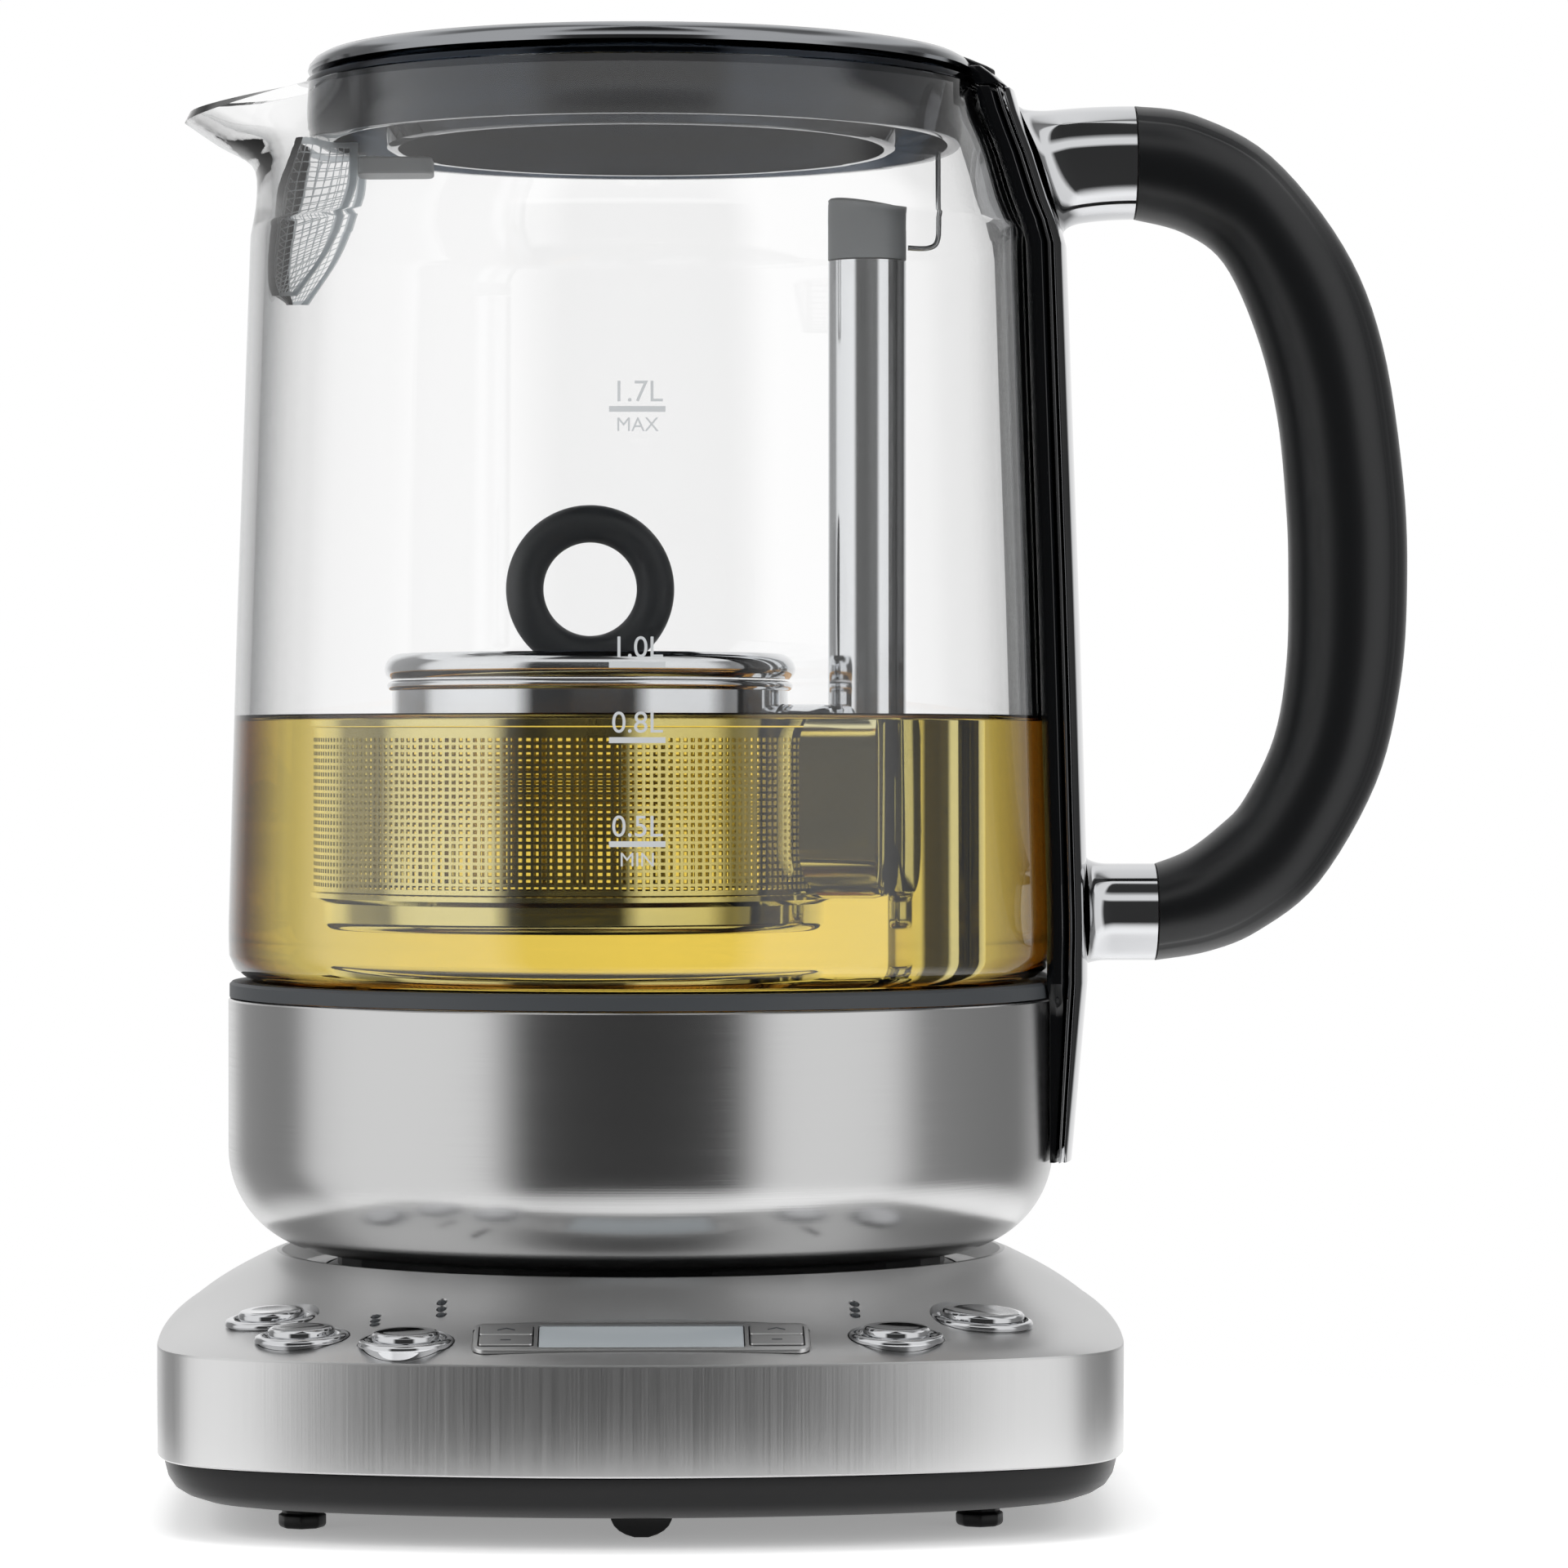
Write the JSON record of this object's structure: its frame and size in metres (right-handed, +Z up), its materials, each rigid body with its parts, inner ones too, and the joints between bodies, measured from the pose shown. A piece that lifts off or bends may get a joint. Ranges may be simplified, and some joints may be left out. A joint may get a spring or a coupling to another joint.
{
  "type": "automatic tea maker",
  "caption": "Glass jug with handle, spout and lid on a base with buttons and a display; a perforated steel infuser climbs a column inside the jug.",
  "frame": {"origin": "middle of the outline, on the surface that the feet stand on", "axes": "+Z up, -Y the front with the controls, +X the handle side, -X the spout side"},
  "size_m": [0.2284, 0.189, 0.263],
  "materials": {
    "brushed_steel": "brushed stainless steel",
    "polished_steel": "polished stainless steel",
    "chrome": "bright chrome plate",
    "black_plastic": "moulded black plastic, satin",
    "soft_black": "black plastic, fine matt grain",
    "grey_plastic": "moulded grey plastic",
    "silicone": "dark grey silicone rubber, matt",
    "smoked_plastic": "smoked transparent plastic, glossy",
    "clear_glass": "clear borosilicate glass",
    "clear_plastic": "grey transparent display window, glossy",
    "circuit_board": "green circuit board"
  },
  "bodies": {
    "base": {"base_tray": "black_plastic", "base_cover": "brushed_steel", "base_deck": "black_plastic", "base_connector": "black_plastic", "cord_outlet": "soft_black", "foot_front_left": "soft_black", "foot_front_right": "soft_black", "foot_rear_left": "soft_black", "foot_rear_right": "soft_black", "foot_front_centre": "soft_black", "bezel_start": "chrome", "bezel_keep_warm": "chrome", "bezel_tea_type": "chrome", "bezel_strength": "chrome", "bezel_power": "chrome", "display_bezel": "chrome", "display_lens": "clear_plastic", "display_module": "black_plastic", "light_guide_left": "clear_plastic", "light_guide_right": "clear_plastic", "control_board": "circuit_board"},
    "turntable": {"jug_socket": "black_plastic"},
    "jug": {"jug_shell": "brushed_steel", "jug_underside": "black_plastic", "floor_plate": "brushed_steel", "heating_element": "brushed_steel", "seal_ring": "silicone", "glass_body": "clear_glass", "neck_collar": "smoked_plastic", "spout_filter_frame": "soft_black", "spout_filter_mesh": "brushed_steel", "lift_column": "polished_steel", "column_cap": "grey_plastic", "column_stay": "polished_steel", "lift_motor": "brushed_steel", "handle_bracket": "black_plastic", "bracket_trim": "chrome", "bracket_cover": "soft_black", "upper_sleeve": "chrome", "lower_sleeve": "chrome", "handle_grip": "soft_black"},
    "lid": {"lid_disc": "polished_steel", "lid_plug": "smoked_plastic"},
    "infuser": {"infuser_rim": "brushed_steel", "infuser_screen": "brushed_steel", "infuser_pan": "brushed_steel", "infuser_sleeve": "soft_black"},
    "infuser_cover": {"infuser_lid": "polished_steel", "infuser_knob": "silicone"},
    "carriage": {"magnet_carriage": "black_plastic"},
    "screw": {"lead_screw": "brushed_steel"},
    "button_start_cap": {"button_start": "chrome"},
    "button_keep_warm_cap": {"button_keep_warm": "chrome"},
    "button_tea_type_cap": {"button_tea_type": "chrome"},
    "button_strength_cap": {"button_strength": "chrome"},
    "button_power_cap": {"button_power": "chrome"},
    "key_left_up_cap": {"key_left_up": "chrome"},
    "key_left_down_cap": {"key_left_down": "chrome"},
    "key_right_up_cap": {"key_right_up": "chrome"},
    "key_right_down_cap": {"key_right_down": "chrome"}
  },
  "joints": [
    {"name": "jug_lift", "type": "slide", "parent": "base", "child": "turntable", "axis": [0, 0, 1], "range_m": [0, 0.06]},
    {"name": "jug_turn", "type": "hinge", "parent": "turntable", "child": "jug", "pos_m": [-0.02665, 0, 0.05], "axis": [0, 0, 1], "continuous": true},
    {"name": "lid_lift", "type": "slide", "parent": "jug", "child": "lid", "axis": [0, 0, 1], "range_m": [0, 0.03]},
    {"name": "infuser_lift", "type": "slide", "parent": "jug", "child": "infuser", "axis": [0, 0, 1], "range_m": [0, 0.05]},
    {"name": "infuser_cover_lift", "type": "slide", "parent": "infuser", "child": "infuser_cover", "axis": [0, 0, 1], "range_m": [0, 0.012]},
    {"name": "carriage_lift", "type": "slide", "parent": "jug", "child": "carriage", "axis": [0, 0, 1], "range_m": [0, 0.05]},
    {"name": "screw_spin", "type": "hinge", "parent": "jug", "child": "screw", "pos_m": [0.01485, 0, 0.15], "axis": [0, 0, 1], "range_deg": [0, 1801]},
    {"name": "button_start_press", "type": "slide", "parent": "base", "child": "button_start_cap", "axis": [0.0563, 0.0612, -0.9965], "range_m": [0, 0.001], "stiffness_N_per_m": 400, "springref_m": -0.001},
    {"name": "button_keep_warm_press", "type": "slide", "parent": "base", "child": "button_keep_warm_cap", "axis": [0.0285, 0.0485, -0.9984], "range_m": [0, 0.001], "stiffness_N_per_m": 400, "springref_m": -0.001},
    {"name": "button_tea_type_press", "type": "slide", "parent": "base", "child": "button_tea_type_cap", "axis": [0.0116, 0.0728, -0.9973], "range_m": [0, 0.001], "stiffness_N_per_m": 400, "springref_m": -0.001},
    {"name": "button_strength_press", "type": "slide", "parent": "base", "child": "button_strength_cap", "axis": [-0.0163, 0.0669, -0.9976], "range_m": [0, 0.001], "stiffness_N_per_m": 400, "springref_m": -0.001},
    {"name": "button_power_press", "type": "slide", "parent": "base", "child": "button_power_cap", "axis": [-0.0589, 0.0637, -0.9962], "range_m": [0, 0.001], "stiffness_N_per_m": 400, "springref_m": -0.001},
    {"name": "key_left_up_press", "type": "slide", "parent": "base", "child": "key_left_up_cap", "axis": [0, 0.2215, -0.9752], "range_m": [0, 0.0006], "stiffness_N_per_m": 400, "springref_m": -0.001},
    {"name": "key_left_down_press", "type": "slide", "parent": "base", "child": "key_left_down_cap", "axis": [0, 0.2215, -0.9752], "range_m": [0, 0.0006], "stiffness_N_per_m": 400, "springref_m": -0.001},
    {"name": "key_right_up_press", "type": "slide", "parent": "base", "child": "key_right_up_cap", "axis": [0, 0.2215, -0.9752], "range_m": [0, 0.0006], "stiffness_N_per_m": 400, "springref_m": -0.001},
    {"name": "key_right_down_press", "type": "slide", "parent": "base", "child": "key_right_down_cap", "axis": [0, 0.2215, -0.9752], "range_m": [0, 0.0006], "stiffness_N_per_m": 400, "springref_m": -0.001}
  ],
  "couplings": [
    {"joint": "carriage_lift", "follows": "infuser_lift", "ratio": 1},
    {"joint": "screw_spin", "follows": "infuser_lift", "rad_per_m": 628.32}
  ]
}
